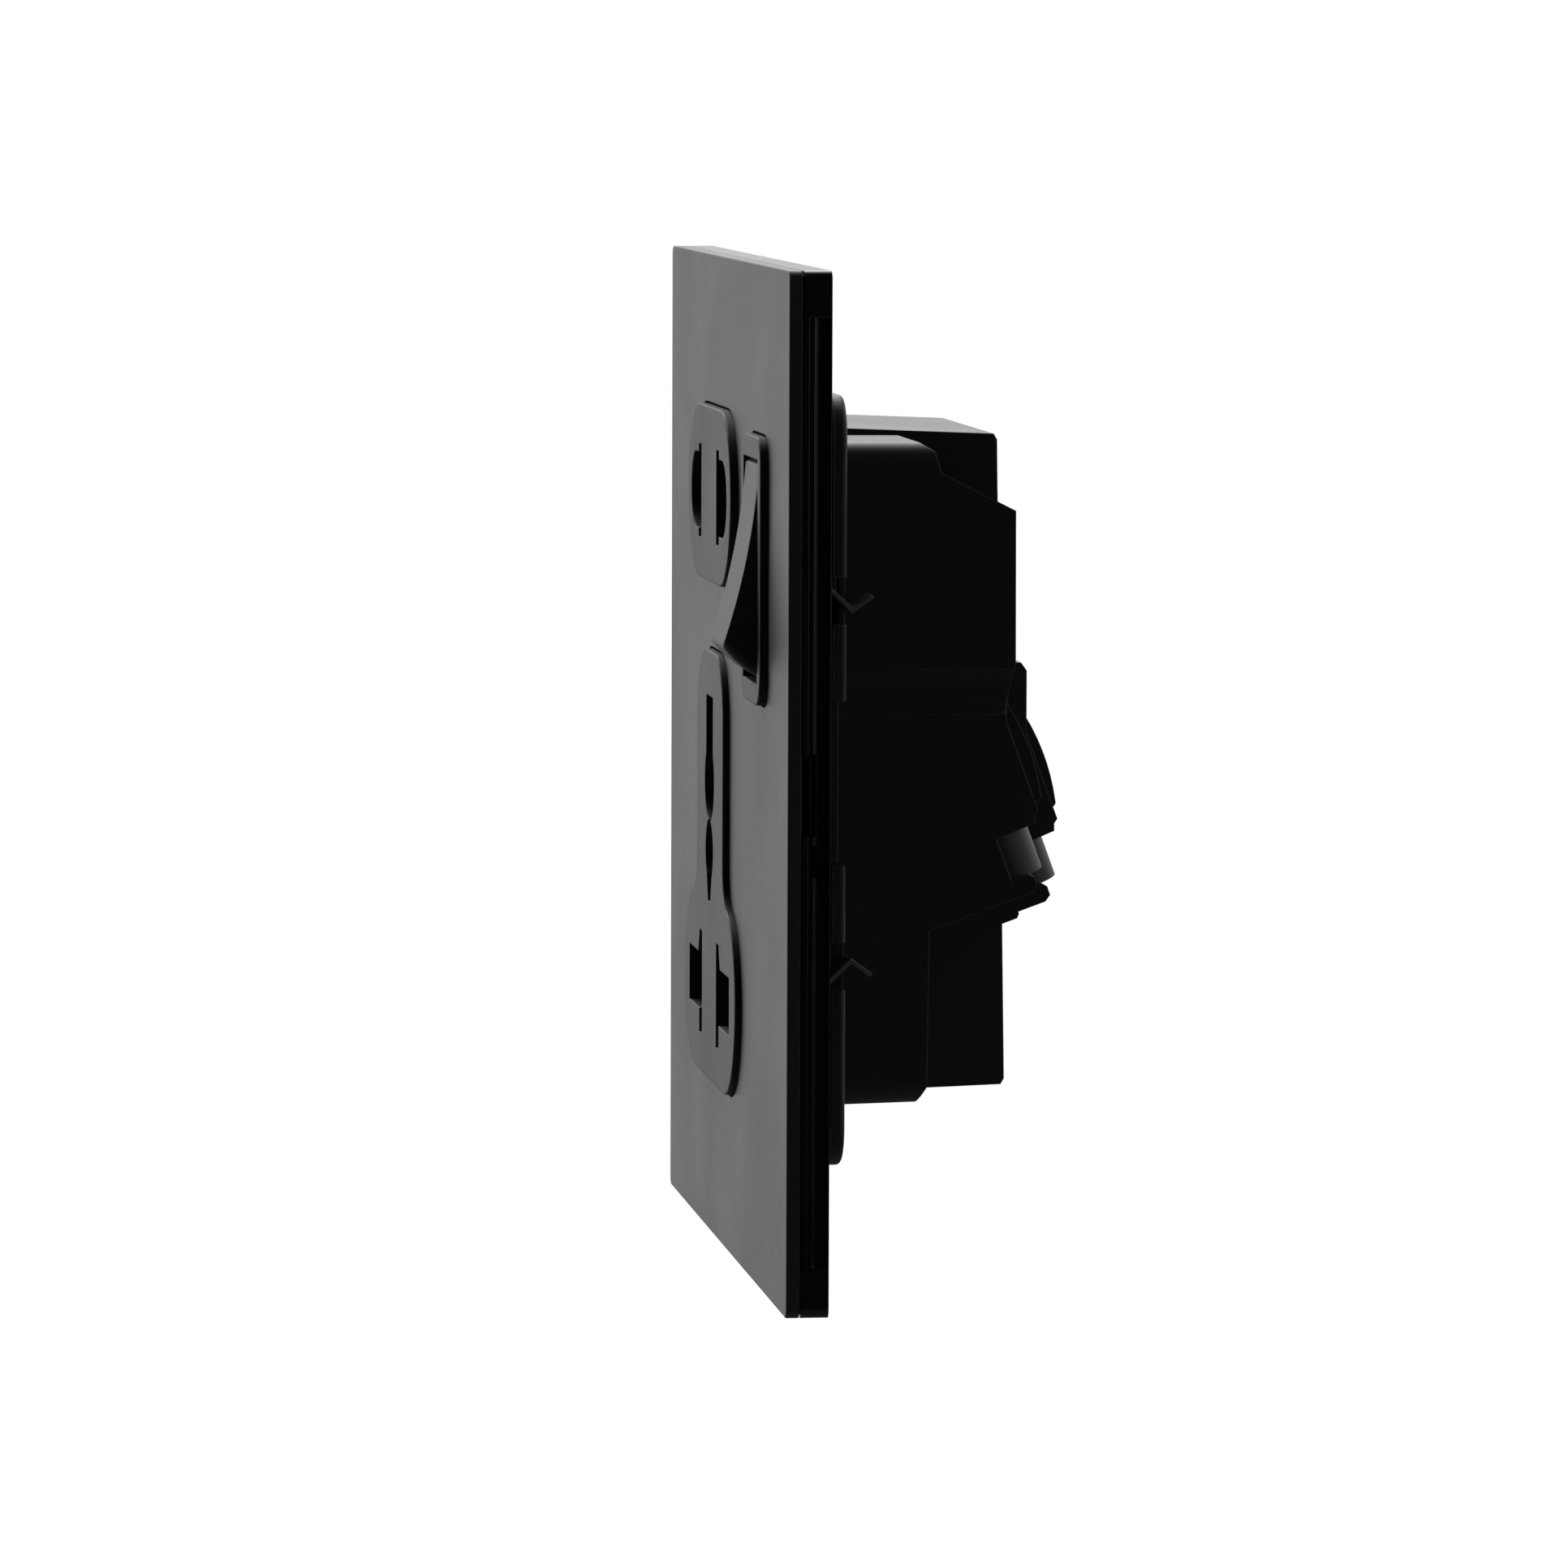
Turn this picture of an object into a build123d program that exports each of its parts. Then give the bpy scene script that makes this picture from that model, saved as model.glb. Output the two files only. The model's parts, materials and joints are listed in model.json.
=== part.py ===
from build123d import *
import os
from math import cos, radians, sin, sqrt

os.makedirs("parts", exist_ok=True)

# Slim 86-type wall plate: a two-pin outlet, a three-pin outlet and a rocker switch on one plate.
# Frame: X to the right seen from the room, Y into the wall, Z up. Y = 0 is the wall face.

# ---- Plate: front panel and mounting frame ----
plate_width = 86.0
plate_height = 86.0
plate_corner_radius = 0.8
panel_thickness = 1.10
groove_gap = 0.15              # shadow line between the panel and the frame's rim
groove_depth = 0.40
rim_thickness = 2.30
edge_round = 0.15
window_clearance = 0.20        # round anything that comes through the panel
recess_clearance = 0.10        # round each flange that lies in the frame
fixing_spacing = 60.3          # the two wall-box screws, along X
fixing_radius = 2.05
fixing_slot_length = 8.0
fixing_head_clear = 7.6        # width of the sunk seat for each screw's head
fixing_seat = -0.95
finger_groove_low = -38.8      # hollow in both side edges, for lifting the panel off
finger_groove_high = 39.2
finger_groove_depth = 0.85
finger_groove_lip = 0.45       # rim left standing in front of the groove
finger_groove_back = 0.1
pry_notch_width = 1.15         # screwdriver notch in the right edge, divided by a rib
pry_notch_height = 6.7
pry_notch_z = 0.05
pry_notch_reach = 3.5
pry_rib_y = -1.55
pry_rib_thickness = 0.25
pry_rib_setback = 1.1
thumb_hollow_width = 1.3       # small round-ended hollow under the notch
thumb_hollow_height = 2.8
thumb_hollow_y = -0.9
thumb_hollow_z = -5.4
thumb_hollow_reach = 1.4

# ---- Flange behind the plate ----
flange_width = 61.0
flange_front = 1.85            # where the frame's wall ends and the housing's flange starts
flange_back = 2.95
flange_round = 0.45
flange_corner = 3.5
flange_screw_margin = 2.6      # from the housing screws' axes to the flange's edge
post_notch_height = 13.8       # clears the wall box's screw posts
post_notch_depth = 5.3

# ---- Rear housing ----
wall = 1.2
socket_left = -24.0
socket_right = 7.0
socket_half_height = 28.1
socket_back = 19.4
socket_back_lean = 0.45        # the back face stands further out at its foot
housing_draft = 0.6
switch_right = 22.5
switch_half_height = 28.05
switch_back = 18.35
switch_low_back = 10.95        # the shallow lower half of the switch side
switch_soft_edge = 1.9         # rounding along the switch side's upper and lower right edges
channel_z = 7.05               # trough in the housing's right side
channel_height = 4.3
channel_depth = 0.7
channel_swell = 0.6            # the channel's ellipse is centred this far outside the wall
partition_x = 9.0              # wall between the outlets' side and the switch's side
partition_thickness = 1.2

# ---- Terminals ----
terminal_tilt = 20.0
wire_face_length = 8.3         # slanted face that the wires enter
screw_axis_depth = 4.14        # from the slanted face to the screw's axis
switch_tube_radius = 3.2       # tubes round the clamp screws
socket_tube_radius = 2.8
screw_tube_end = 12.8
switch_underside = 14.4        # underside of each tower, down its slanted face's direction
socket_underside = 14.4
socket_foot_step = 0.5         # the underside's lower step, next to the box
socket_foot_depth = 5.9
switch_rim_depth = 2.2         # how far the towers' end flanges lie below the slanted face
socket_rim_depth = 2.8
clamp_pocket_depth = 9.5       # how far the clamps' pockets reach in from the slanted face
switch_tower_y = 17.6
switch_tower_z = 4.5
socket_tower_proud = 2.25      # how far the tower's corner stands behind the socket's back
socket_tower_z = 2.4
wire_hole_radius = 1.9
wire_hole_depth = 4.4          # along the slanted face, from its top edge
fin_thickness = 1.0
fin_head = 1.15                # how far the fins stand proud at the top, middle and foot
fin_bulge = 1.8
fin_foot = 1.4
fin_rise = 1.3                 # above the slanted face's top edge
cage_width = 5.0
cage_wall = 0.8
cage_top = 1.5
cage_bottom = 8.2
cage_front = 7.0               # depths below the slanted face
cage_back = 1.3
clamp_screw_clearance = 0.03
screw_head_radius = 2.15
screw_head_length = 1.5
screw_bore_radius = 2.35
tab_thickness = 0.7
tab_side_clearance = 0.1
tab_clearance = 0.05

# ---- Outlets ----
outlet_x = -7.2
insert_flange = 1.4
insert_flange_thickness = 1.15
insert_round = 0.15
two_pin_z = 22.25
two_pin_width = 31.4
two_pin_height = 15.2
two_pin_rise = 0.75            # face ahead of the panel
two_pin_round_offset = 9.9
two_pin_round_radius = 3.35
two_pin_blade_offset = 6.6     # centre of the upright blade slots
three_pin_blade_offset = 6.3
blade_width = 2.0
two_pin_blade_height = 8.2
three_pin_z = -21.1
three_pin_width = 38.0
three_pin_height = 16.0
three_pin_rise = 0.62
earth_lobe_width = 19.2
earth_lobe_top = 8.5
earth_lobe_radius = 6.0
shoulder_radius = 3.6
three_pin_blade_height = 9.1
line_hole_outer = 15.0
line_hole_height = 5.0
slant_offset = 7.9
slant_rise = 1.2
slant_angle = 30.0
slant_length = 5.6
slant_width = 1.9
earth_slot_width = 5.0
earth_slot_top = 4.6
earth_round_z = -2.9
earth_round_radius = 3.5
ground_z = -9.0
ground_radius = 2.8
ground_tail_z = -13.4
ground_tail_width = 1.6

# ---- Shutters ----
shutter_travel = 7.6
shutter_front = 0.45
shutter_thickness = 1.5
shutter_half_width = 14.6
two_pin_shutter_height = 6.4
three_pin_shutter_height = 5.4
three_pin_bridge_height = 2.4
shutter_ramp = 1.1
shutter_arm_width = 2.6
shutter_arm_top = -12.0
guide_clearance = 0.15
guide_thickness = 0.7
spring_radius = 0.95
spring_wire = 0.16
spring_clearance = 0.2
two_pin_stop_z = 10.6
three_pin_stop_z = 4.6
stop_thickness = 0.9
spring_turns = 9
cover_front = flange_back
cover_thickness = 1.2
cover_clearance = 0.15

# ---- Outlet contacts ----
contact_thickness = 0.6
contact_tip = 5.6
contact_base = 12.9
jaw_half_gap = 3.4
jaw_pinch = 1.0
jaw_inner = 5.0
jaw_outer = 12.6
bus_width = 3.6
earth_half_gap = 2.7
earth_jaw_top = 4.4
earth_jaw_bottom = -12.4

# ---- Switch ----
switch_x = 23.05
switch_z = 17.55
bezel_width = 13.0
bezel_end_margin = 1.85        # above and below the rocker's window
bezel_round = 0.15
bezel_rise = 0.75
bezel_corner = 2.6
bezel_lip = 0.8
bezel_flange = 1.3
rocker_window_width = 9.7
rocker_window_inset = 0.80     # the window covers this much of the rocker's radius at each end
rocker_tilt = 11.25
rocker_pivot_y = 0.90
rocker_radius = 10.15
rocker_clearance = 0.20
rocker_face_angle = 49.0       # of the face's edges, seen from the pivot
rocker_sag = 0.50
rocker_skirt_angle = 76.0
rocker_wall = 1.2
rocker_edge_round = 0.6
pin_radius = 0.80
pin_clearance = 0.05
ear_thickness = 1.1
ear_margin = 0.45
leg_x = 19.5
leg_width = 2.6
leg_height = 3.2
leg_length = 5.6
plunger_radius = 0.75
plunger_reach = 9.22
plunger_bore_clearance = 0.05
plunger_spring_wire = 0.14

# ---- Switch contacts ----
lever_y = 10.6
lever_tilt = 8.0
lever_half_length = 6.4
lever_thickness = 0.6
lever_width = 2.0
lever_pin_radius = 0.5
lever_pin_clearance = 0.05
yoke_thickness = 0.5
rivet_radius = 0.9
rivet_height = 0.45
rivet_gap = 0.05

# ---- Panel hooks, spring clips and screws ----
hook_x = 36.0
hook_z = 33.0
hook_width = 5.0
hook_thickness = 0.9
hook_barb = 0.35
hook_end_gap = 0.3
hook_barb_start = -1.05
hook_slot_clearance = 0.15
clip_width = 3.0
clip_thickness = 0.35
clip_inner_x = 29.3
clip_z = 16.8
clip_notch_low = 13.3
clip_notch_high = 17.2
clip_notch_depth = 1.5
clip_pocket_clearance = 0.25   # round each clip's foot in the frame's back
clip_pocket_depth = 0.15
housing_screw_x = 27.3
housing_screw_margin = 2.0     # above the rocker's swept circle
housing_screw_radius = 1.05
housing_screw_length = 3.7
housing_screw_head = 2.0
housing_screw_hole = 1.1

# ---- Levels worked out from the sizes above ----
panel_back = -(rim_thickness + groove_gap)
panel_front = panel_back - panel_thickness
seat = panel_back + insert_flange_thickness + 0.05      # where the inserts' flanges lie
web_back = seat + 1.3                                    # back of the frame's floor
two_pin_face = panel_front - two_pin_rise
three_pin_face = panel_front - three_pin_rise
bezel_face = panel_front - bezel_rise
chamber_left = socket_left + wall
chamber_right = partition_x
chamber_half = socket_half_height - wall
cover_back = cover_front + cover_thickness
socket_floor = socket_back - wall
deep_right = socket_right - wall
switch_left = partition_x + partition_thickness
switch_inner_right = switch_right - wall
rocker_width = rocker_window_width - 2 * rocker_clearance
rocker_window_height = 2 * (rocker_radius - rocker_window_inset)
bezel_height = rocker_window_height + 2 * bezel_end_margin
housing_screw_z = switch_z + rocker_radius + housing_screw_margin
flange_height = 2 * (housing_screw_z + flange_screw_margin)
socket_tower_y = socket_back + socket_tower_proud
clamp_screw_radius = cage_width / 2 - cage_wall
tab_width = 2 * (clamp_screw_radius - tab_side_clearance)
terminal_x = [outlet_x - two_pin_round_offset, outlet_x, outlet_x + two_pin_round_offset]
terminal_names = ["neutral", "earth", "line"]
switch_terminal_x = [switch_left + cage_width / 2, switch_inner_right - cage_width / 2]
switch_terminal_names = ["switched_line", "switch_feed"]
sin_tilt, cos_tilt = sin(radians(terminal_tilt)), cos(radians(terminal_tilt))


def front(y):
    """Plane seen from the room at depth y: X to the right, Z up, extruding towards the room."""
    return Plane.XZ.offset(-y)


def side(x):
    """Plane seen from the right at x: Y to the right, Z up, extruding towards +X."""
    return Plane.YZ.offset(x)


def into_wall(y0, y1, mode=Mode.ADD):
    """Extrudes the sketch that was just drawn at depth y0 to depth y1."""
    extrude(amount=y0 - y1, mode=mode)


def tilted(x, y, z, angle):
    """Plane seen from the right whose Y is turned by angle about X, through (x, y, z)."""
    turned = (0, cos(radians(angle)), sin(radians(angle)))
    return Plane(origin=(x, y, z), x_dir=turned, z_dir=(1, 0, 0))


def tower_point(corner, down, depth):
    """Row (y, z) of a point: down the slanted wire face from its top edge, and below that face."""
    y, z = corner
    return (y + down * sin_tilt - depth * cos_tilt, z - down * cos_tilt - depth * sin_tilt)


def two_pin_outline(grow=0.0):
    with Locations((outlet_x, two_pin_z)):
        SlotOverall(two_pin_width + 2 * grow, two_pin_height + 2 * grow)


def three_pin_outline(grow=0.0):
    """Inverted T: the wide lobe for line and neutral, and the earth lobe above it."""
    end_radius = three_pin_height / 2
    lobe_height = earth_lobe_top - three_pin_z
    with Locations((outlet_x, earth_lobe_top - lobe_height / 2)):
        Rectangle(earth_lobe_width, lobe_height)
    fillet(vertices().group_by(Axis.Y)[-1], earth_lobe_radius)
    with Locations((outlet_x, three_pin_z)):
        SlotOverall(three_pin_width, three_pin_height)
    # each shoulder is an arc tangent to the earth lobe's side and to the wide lobe's round end
    end_centre = Vector(three_pin_width / 2 - end_radius, 0)
    arc_x = earth_lobe_width / 2 + shoulder_radius
    arc_height = sqrt((end_radius + shoulder_radius) ** 2 - (arc_x - end_centre.X) ** 2)
    arc_centre = Vector(arc_x, arc_height)
    towards = (arc_centre - end_centre).normalized()
    low_touch = end_centre + towards * end_radius
    high_touch = Vector(earth_lobe_width / 2, arc_height)
    middle = arc_centre - (towards + Vector(1, 0)).normalized() * shoulder_radius
    for direction in (-1, 1):
        low, mid, high, root = [(outlet_x + direction * p.X, three_pin_z + p.Y)
                                for p in (low_touch, middle, high_touch, Vector(earth_lobe_width / 2, 0))]
        with BuildLine() as shoulder:
            ThreePointArc(low, mid, high)
            Polyline(high, root, low)
        make_face(shoulder.edges())
    if grow:
        offset(amount=grow)


def bezel_outline(grow=0.0):
    with Locations((switch_x, switch_z)):
        RectangleRounded(bezel_width + 2 * grow, bezel_height + 2 * grow, bezel_corner + grow)


def two_pin_holes(grow=0.0):
    """Per pin: an upright blade slot at the inner side, opening into a round-ended slot."""
    for direction in (-1, 1):
        with Locations((outlet_x + direction * two_pin_blade_offset, two_pin_z)):
            Rectangle(blade_width + 2 * grow, two_pin_blade_height + 2 * grow)
        with Locations((outlet_x + direction * two_pin_round_offset, two_pin_z)):
            Circle(two_pin_round_radius + grow)
        middle = (two_pin_blade_offset + two_pin_round_offset) / 2
        with Locations((outlet_x + direction * middle, two_pin_z)):
            Rectangle(two_pin_round_offset - two_pin_blade_offset, 2 * (two_pin_round_radius + grow))


def line_neutral_holes(grow=0.0):
    """Per pin: an upright blade slot, a level slot to the outside and a slanted slot between."""
    for direction in (-1, 1):
        with Locations((outlet_x + direction * three_pin_blade_offset, three_pin_z)):
            Rectangle(blade_width + 2 * grow, three_pin_blade_height + 2 * grow)
        middle = (three_pin_blade_offset + line_hole_outer) / 2
        with Locations((outlet_x + direction * middle, three_pin_z)):
            Rectangle(line_hole_outer - three_pin_blade_offset + 2 * grow, line_hole_height + 2 * grow)
        with Locations((outlet_x + direction * slant_offset, three_pin_z + slant_rise)):
            Rectangle(slant_width + 2 * grow, slant_length + 2 * grow, rotation=direction * slant_angle)


def earth_holes(grow=0.0):
    """A square slot over a round one, and a drop-shaped hole below them."""
    slot_height = earth_slot_top - earth_round_z
    with Locations((outlet_x, earth_round_z + slot_height / 2 + grow / 2)):
        Rectangle(earth_slot_width + 2 * grow, slot_height + grow)
    with Locations((outlet_x, earth_round_z)):
        Circle(earth_round_radius + grow)
    with Locations((outlet_x, ground_z)):
        Circle(ground_radius + grow)
    with BuildLine() as tail:
        Polyline((outlet_x - ground_radius - grow, ground_z),
                 (outlet_x + ground_radius + grow, ground_z),
                 (outlet_x + ground_tail_width / 2 + grow, ground_tail_z - grow),
                 (outlet_x - ground_tail_width / 2 - grow, ground_tail_z - grow), close=True)
    make_face(tail.edges())


def finish(builder, label):
    """Names a finished piece and writes it as its own file."""
    builder.part.label = label
    export_step(builder.part, f"parts/{label}.step")


# ---- Front panel ----
with BuildPart() as front_panel:
    with BuildSketch(front(panel_front)):
        RectangleRounded(plate_width, plate_height, plate_corner_radius)
    into_wall(panel_front, panel_back)
    fillet(faces().sort_by(Axis.Y)[0].edges(), edge_round)
    with BuildSketch(front(panel_front)):
        two_pin_outline(window_clearance)
    into_wall(panel_front, panel_back, Mode.SUBTRACT)
    with BuildSketch(front(panel_front)):
        three_pin_outline(window_clearance)
    into_wall(panel_front, panel_back, Mode.SUBTRACT)
    with BuildSketch(front(panel_front)):
        bezel_outline(window_clearance)
    into_wall(panel_front, panel_back, Mode.SUBTRACT)
    for level in (-1, 1):
        for direction in (-1, 1):
            with BuildSketch(front(panel_back)):
                with Locations((direction * hook_x, level * hook_z)):
                    Rectangle(hook_thickness, hook_width)
            into_wall(panel_back, -hook_end_gap)
            with BuildSketch(front(hook_barb_start)):
                with Locations((direction * (hook_x + hook_barb / 2), level * hook_z)):
                    Rectangle(hook_thickness + hook_barb, hook_width)
            into_wall(hook_barb_start, -hook_end_gap)
finish(front_panel, "front_panel")

# ---- Mounting frame ----
with BuildPart() as mounting_frame:
    with BuildSketch(front(-rim_thickness)):
        RectangleRounded(plate_width, plate_height, plate_corner_radius)
    into_wall(-rim_thickness, 0)
    with BuildSketch(front(panel_back)):
        Rectangle(plate_width - 2 * groove_depth, plate_height - 2 * groove_depth)
    into_wall(panel_back, -rim_thickness)
    with BuildSketch(front(0)):
        RectangleRounded(flange_width, flange_height, flange_corner)
    into_wall(0, flange_front)
    # chambers behind the two outlets and behind the switch
    with BuildSketch(front(web_back)):
        with Locations(((chamber_left + chamber_right) / 2, 0)):
            Rectangle(chamber_right - chamber_left, 2 * chamber_half)
    into_wall(web_back, flange_front, Mode.SUBTRACT)
    ear_reach = rocker_width / 2 + 0.3 + ear_thickness
    switch_cavity_half = rocker_radius + 0.30
    with BuildSketch(front(seat)):
        with Locations((switch_x, switch_z)):
            Rectangle(rocker_width + 0.6, 2 * switch_cavity_half)
            Rectangle(2 * ear_reach + 0.3, 2 * (pin_radius + ear_margin) + 1.2)
    into_wall(seat, flange_front, Mode.SUBTRACT)
    with BuildSketch(front(web_back)):
        with Locations(((switch_left + switch_inner_right) / 2, 0)):
            Rectangle(switch_inner_right - switch_left, 2 * chamber_half)
    into_wall(web_back, flange_front, Mode.SUBTRACT)
    # recesses that seat the inserts' flanges, under the panel
    with BuildSketch(front(panel_back)):
        two_pin_outline(insert_flange + recess_clearance)
    into_wall(panel_back, seat, Mode.SUBTRACT)
    with BuildSketch(front(panel_back)):
        three_pin_outline(insert_flange + recess_clearance)
    into_wall(panel_back, seat, Mode.SUBTRACT)
    with BuildSketch(front(panel_back)):
        bezel_outline(bezel_flange + recess_clearance)
    into_wall(panel_back, seat, Mode.SUBTRACT)
    # pin openings through the frame's floor
    with BuildSketch(front(seat)):
        two_pin_holes(0.3)
        line_neutral_holes(0.3)
    into_wall(seat, web_back, Mode.SUBTRACT)
    with BuildSketch(front(seat)):
        earth_holes(0.3)
    into_wall(seat, web_back, Mode.SUBTRACT)
    # notches for the wall box's screw posts and for the spring clips
    with BuildSketch(front(0)):
        for direction in (-1, 1):
            with Locations((direction * (flange_width - post_notch_depth) / 2, 0)):
                Rectangle(post_notch_depth, post_notch_height)
            for level in (-1, 1):
                middle = level * (clip_notch_low + clip_notch_high) / 2
                with Locations((direction * (flange_width - clip_notch_depth) / 2, middle)):
                    Rectangle(clip_notch_depth, clip_notch_high - clip_notch_low)
    into_wall(0, flange_front, Mode.SUBTRACT)
    # shallow pockets under the spring clips' feet
    with BuildSketch(front(-clip_pocket_depth)):
        pocket_left = flange_width / 2 - clip_notch_depth
        pocket_right = clip_inner_x + clip_width + clip_pocket_clearance
        pocket_low = clip_notch_low - clip_pocket_clearance
        pocket_high = clip_notch_high + clip_pocket_clearance
        for direction in (-1, 1):
            for level in (-1, 1):
                with Locations((direction * (pocket_left + pocket_right) / 2, level * (pocket_low + pocket_high) / 2)):
                    Rectangle(pocket_right - pocket_left, pocket_high - pocket_low)
    into_wall(-clip_pocket_depth, 0, Mode.SUBTRACT)
    # wall-box screw slots, each in a sunk seat that the panel hides
    with BuildSketch(front(panel_back)):
        for direction in (-1, 1):
            with Locations((direction * fixing_spacing / 2, 0)):
                SlotOverall(fixing_slot_length + fixing_head_clear - 2 * fixing_radius, fixing_head_clear)
    into_wall(panel_back, fixing_seat, Mode.SUBTRACT)
    with BuildSketch(front(panel_back)):
        for direction in (-1, 1):
            with Locations((direction * fixing_spacing / 2, 0)):
                SlotOverall(fixing_slot_length, 2 * fixing_radius)
    into_wall(panel_back, 0, Mode.SUBTRACT)
    # stepped slots for the panel's hooks
    for level in (-1, 1):
        for direction in (-1, 1):
            with BuildSketch(front(panel_back)):
                with Locations((direction * (hook_x + hook_barb / 2), level * hook_z)):
                    Rectangle(hook_thickness + hook_barb + 2 * hook_slot_clearance,
                              hook_width + 2 * hook_slot_clearance)
            into_wall(panel_back, 0, Mode.SUBTRACT)
    # holes for the housing's screws
    screw_hole_end = flange_back - housing_screw_length - 0.2
    with BuildSketch(front(screw_hole_end)):
        for level in (-1, 1):
            for direction in (-1, 1):
                with Locations((direction * housing_screw_x, level * housing_screw_z)):
                    Circle(housing_screw_hole)
    into_wall(screw_hole_end, flange_front, Mode.SUBTRACT)
    # concave finger grooves in both side edges
    groove_front = finger_groove_lip - rim_thickness
    groove_middle = (groove_front - finger_groove_back) / 2
    for direction in (-1, 1):
        with BuildSketch(Plane.XY.offset(finger_groove_low)):
            with BuildLine():
                edge_x = direction * plate_width / 2
                outside_x = edge_x + direction
                ThreePointArc((edge_x, groove_front), (edge_x - direction * finger_groove_depth, groove_middle),
                              (edge_x, -finger_groove_back))
                Polyline((edge_x, -finger_groove_back), (outside_x, -finger_groove_back),
                         (outside_x, groove_front), (edge_x, groove_front))
            make_face()
        extrude(amount=finger_groove_high - finger_groove_low, mode=Mode.SUBTRACT)
    # pry notch in the right edge, its rib, and the hollow under it
    with BuildSketch(side(plate_width / 2 - pry_notch_reach)):
        with Locations((pry_notch_width / 2 - rim_thickness, pry_notch_z)):
            Rectangle(pry_notch_width, pry_notch_height)
    extrude(amount=pry_notch_reach, mode=Mode.SUBTRACT)
    with BuildSketch(side(plate_width / 2 - pry_notch_reach)):
        with Locations((pry_rib_y, pry_notch_z)):
            Rectangle(pry_rib_thickness, pry_notch_height)
    extrude(amount=pry_notch_reach - pry_rib_setback)
    with BuildSketch(side(plate_width / 2 - thumb_hollow_reach)):
        with Locations((thumb_hollow_y, thumb_hollow_z)):
            SlotOverall(thumb_hollow_height, thumb_hollow_width, rotation=90)
    extrude(amount=thumb_hollow_reach, mode=Mode.SUBTRACT)
finish(mounting_frame, "mounting_frame")

# ---- Outlet inserts ----
with BuildPart() as two_pin_insert:
    with BuildSketch(front(two_pin_face)):
        two_pin_outline()
    into_wall(two_pin_face, seat)
    fillet(faces().sort_by(Axis.Y)[0].edges(), insert_round)
    with BuildSketch(front(seat - insert_flange_thickness)):
        two_pin_outline(insert_flange)
    into_wall(seat - insert_flange_thickness, seat)
    with BuildSketch(front(two_pin_face)):
        two_pin_holes()
    into_wall(two_pin_face, seat, Mode.SUBTRACT)
finish(two_pin_insert, "two_pin_insert")

with BuildPart() as three_pin_insert:
    with BuildSketch(front(three_pin_face)):
        three_pin_outline()
    into_wall(three_pin_face, seat)
    fillet(faces().sort_by(Axis.Y)[0].edges(), insert_round)
    with BuildSketch(front(seat - insert_flange_thickness)):
        three_pin_outline(insert_flange)
    into_wall(seat - insert_flange_thickness, seat)
    with BuildSketch(front(three_pin_face)):
        line_neutral_holes()
    into_wall(three_pin_face, seat, Mode.SUBTRACT)
    with BuildSketch(front(three_pin_face)):
        earth_holes()
    into_wall(three_pin_face, seat, Mode.SUBTRACT)
finish(three_pin_insert, "three_pin_insert")

# ---- Shutters and their springs ----
shutter_back = shutter_front + shutter_thickness
spring_y = (shutter_front + shutter_back) / 2 + 0.15
spring_slot_half = spring_radius + spring_wire + spring_clearance
spring_seat_z = two_pin_z + two_pin_shutter_height / 2 - 1.0
arm_x = outlet_x - shutter_half_width + shutter_arm_width / 2


def ramp_edges(z_top):
    """The front top edges that the pins press on."""
    return [e for e in edges().filter_by(Axis.X)
            if abs(e.center().Z - z_top) < 0.01 and abs(e.center().Y - shutter_front) < 0.01]


with BuildPart() as two_pin_shutter:
    with BuildSketch(front(shutter_front)):
        with Locations((outlet_x, two_pin_z)):
            Rectangle(2 * shutter_half_width, two_pin_shutter_height)
    into_wall(shutter_front, shutter_back)
    chamfer(ramp_edges(two_pin_z + two_pin_shutter_height / 2), shutter_ramp)
    slot_bottom = two_pin_z - two_pin_shutter_height / 2
    with BuildSketch(front(shutter_front)):
        with Locations((outlet_x, (slot_bottom + spring_seat_z) / 2)):
            Rectangle(2 * spring_slot_half, spring_seat_z - slot_bottom)
    into_wall(shutter_front, shutter_back, Mode.SUBTRACT)
finish(two_pin_shutter, "two_pin_shutter")

with BuildPart() as three_pin_shutter:
    wing_width = shutter_half_width - 4.3
    with BuildSketch(front(shutter_front)):
        for direction in (-1, 1):
            with Locations((outlet_x + direction * (shutter_half_width - wing_width / 2), three_pin_z)):
                Rectangle(wing_width, three_pin_shutter_height)
        wing_bottom = three_pin_z - three_pin_shutter_height / 2
        with Locations((outlet_x, wing_bottom + three_pin_bridge_height / 2)):
            Rectangle(2 * shutter_half_width, three_pin_bridge_height)
        arm_bottom = three_pin_z
        with Locations((arm_x, (arm_bottom + shutter_arm_top) / 2)):
            Rectangle(shutter_arm_width, shutter_arm_top - arm_bottom)
    into_wall(shutter_front, shutter_back)
    chamfer([e for e in edges().filter_by(Axis.X) if abs(e.center().Z - wing_bottom) < 0.01
             and abs(e.center().Y - shutter_front) < 0.01], shutter_ramp)
finish(three_pin_shutter, "three_pin_shutter")


def coil_spring(x, y, low_z, high_z, radius, wire, turns):
    """Upright coil of round wire between two levels; the caller's part context receives it."""
    length = high_z - low_z - 2 * wire
    with BuildLine() as path:
        coil = Helix(pitch=length / turns, height=length, radius=radius, center=(x, y, low_z + wire))
    with BuildSketch(Plane(origin=coil @ 0, z_dir=coil % 0)) as section:
        Circle(wire)
    sweep(section.sketch, path=path.wires()[0], is_frenet=True)


with BuildPart() as two_pin_spring:
    coil_spring(outlet_x, spring_y, two_pin_stop_z + 0.1, spring_seat_z - 0.1,
                spring_radius, spring_wire, spring_turns)
finish(two_pin_spring, "two_pin_shutter_spring")

with BuildPart() as three_pin_spring:
    coil_spring(arm_x, spring_y, shutter_arm_top + 0.1, three_pin_stop_z - 0.1,
                spring_radius, spring_wire, spring_turns)
finish(three_pin_spring, "three_pin_shutter_spring")

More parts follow.
